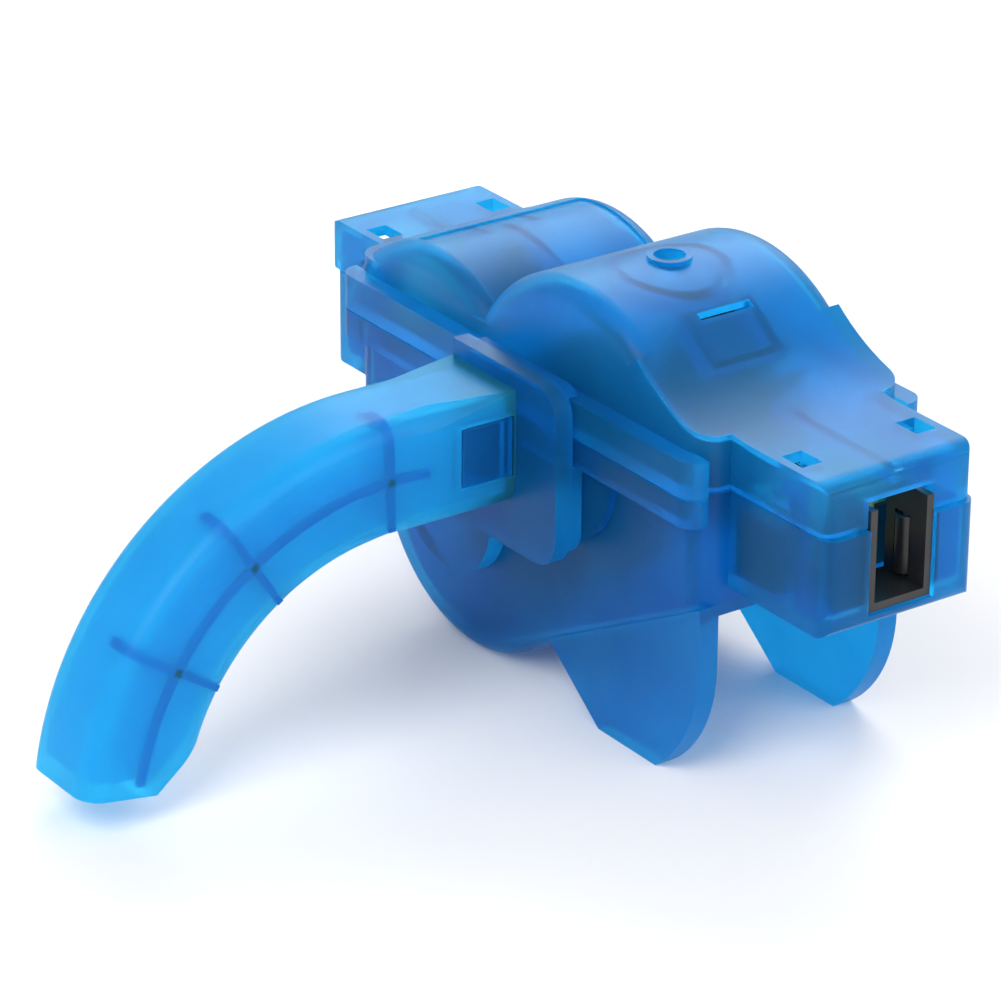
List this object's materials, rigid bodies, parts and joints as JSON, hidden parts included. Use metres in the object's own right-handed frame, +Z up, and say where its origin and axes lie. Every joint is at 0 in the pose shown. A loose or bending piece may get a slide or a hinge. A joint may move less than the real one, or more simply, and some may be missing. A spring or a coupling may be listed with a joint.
{
  "type": "bike chain cleaner",
  "caption": "Box that clips round a bicycle chain, with a wash tank, sliding cover, brush wheels, chain guides and a curved hand grip on a side plate.",
  "frame": {"origin": "On the floor under the middle of the whole object's box, so between the tank and the handle.", "axes": "+X along the chain towards the end with the front guide, -Y towards the handle, +Z up."},
  "size_m": [0.1466, 0.1412, 0.0802],
  "materials": {
    "tank_plastic": "frosted translucent blue plastic",
    "cover_plastic": "frosted translucent blue plastic, thinner and lighter",
    "handle_plastic": "frosted translucent light blue plastic",
    "wheel_plastic": "black moulded plastic",
    "bristle": "black nylon bristles",
    "guide_plastic": "black satin plastic",
    "sponge": "open-cell foam sponge",
    "steel": "plain turned steel"
  },
  "bodies": {
    "tank_body": {"tank": "tank_plastic", "rear_axle": "steel", "front_axle": "steel", "front_guide": "guide_plastic", "rear_guide": "guide_plastic", "front_roller_pins": "steel", "rear_roller_pins": "steel", "sponge": "sponge", "sponge_tray": "guide_plastic"},
    "cover_body": {"cover": "cover_plastic", "jockey_axle": "steel"},
    "jockey_wheel_body": {"jockey_wheel": "wheel_plastic"},
    "rear_wheel_body": {"rear_wheel": "wheel_plastic", "rear_brush_left": "bristle", "rear_brush_right": "bristle"},
    "front_wheel_body": {"front_wheel": "wheel_plastic", "front_brush_left": "bristle", "front_brush_right": "bristle"},
    "front_roller_left_body": {"front_roller_left": "guide_plastic"},
    "front_roller_right_body": {"front_roller_right": "guide_plastic"},
    "rear_roller_left_body": {"rear_roller_left": "guide_plastic"},
    "rear_roller_right_body": {"rear_roller_right": "guide_plastic"},
    "handle_body": {"handle_front_half": "handle_plastic", "handle_rear_half": "handle_plastic", "handle_plate": "tank_plastic"},
    "release_button_body": {"release_button": "tank_plastic"}
  },
  "joints": [
    {"name": "cover_slide", "type": "slide", "parent": "tank_body", "child": "cover_body", "axis": [-1, 0, 0], "range_m": [0, 0.005]},
    {"name": "jockey_wheel_spin", "type": "hinge", "parent": "cover_body", "child": "jockey_wheel_body", "pos_m": [-0.04115, 0.04561, 0.057], "axis": [0, 1, 0], "continuous": true},
    {"name": "rear_wheel_spin", "type": "hinge", "parent": "tank_body", "child": "rear_wheel_body", "pos_m": [-0.02165, 0.04561, 0.0288], "axis": [0, 1, 0], "continuous": true},
    {"name": "front_wheel_spin", "type": "hinge", "parent": "tank_body", "child": "front_wheel_body", "pos_m": [0.01035, 0.04561, 0.0475], "axis": [0, 1, 0], "continuous": true},
    {"name": "front_roller_left_spin", "type": "hinge", "parent": "tank_body", "child": "front_roller_left_body", "pos_m": [0.06675, 0.05171, 0.0469], "axis": [0, 0, 1], "continuous": true},
    {"name": "front_roller_right_spin", "type": "hinge", "parent": "tank_body", "child": "front_roller_right_body", "pos_m": [0.06675, 0.03951, 0.0469], "axis": [0, 0, 1], "continuous": true},
    {"name": "rear_roller_left_spin", "type": "hinge", "parent": "tank_body", "child": "rear_roller_left_body", "pos_m": [-0.06505, 0.05171, 0.0469], "axis": [0, 0, 1], "continuous": true},
    {"name": "rear_roller_right_spin", "type": "hinge", "parent": "tank_body", "child": "rear_roller_right_body", "pos_m": [-0.06505, 0.03951, 0.0469], "axis": [0, 0, 1], "continuous": true},
    {"name": "handle_slide", "type": "slide", "parent": "tank_body", "child": "handle_body", "axis": [1, 0, 0], "range_m": [0, 0.062]},
    {"name": "release_press", "type": "slide", "parent": "handle_body", "child": "release_button_body", "axis": [-1, 0, 0], "range_m": [0, 0.0015], "stiffness_N_per_m": 500}
  ]
}
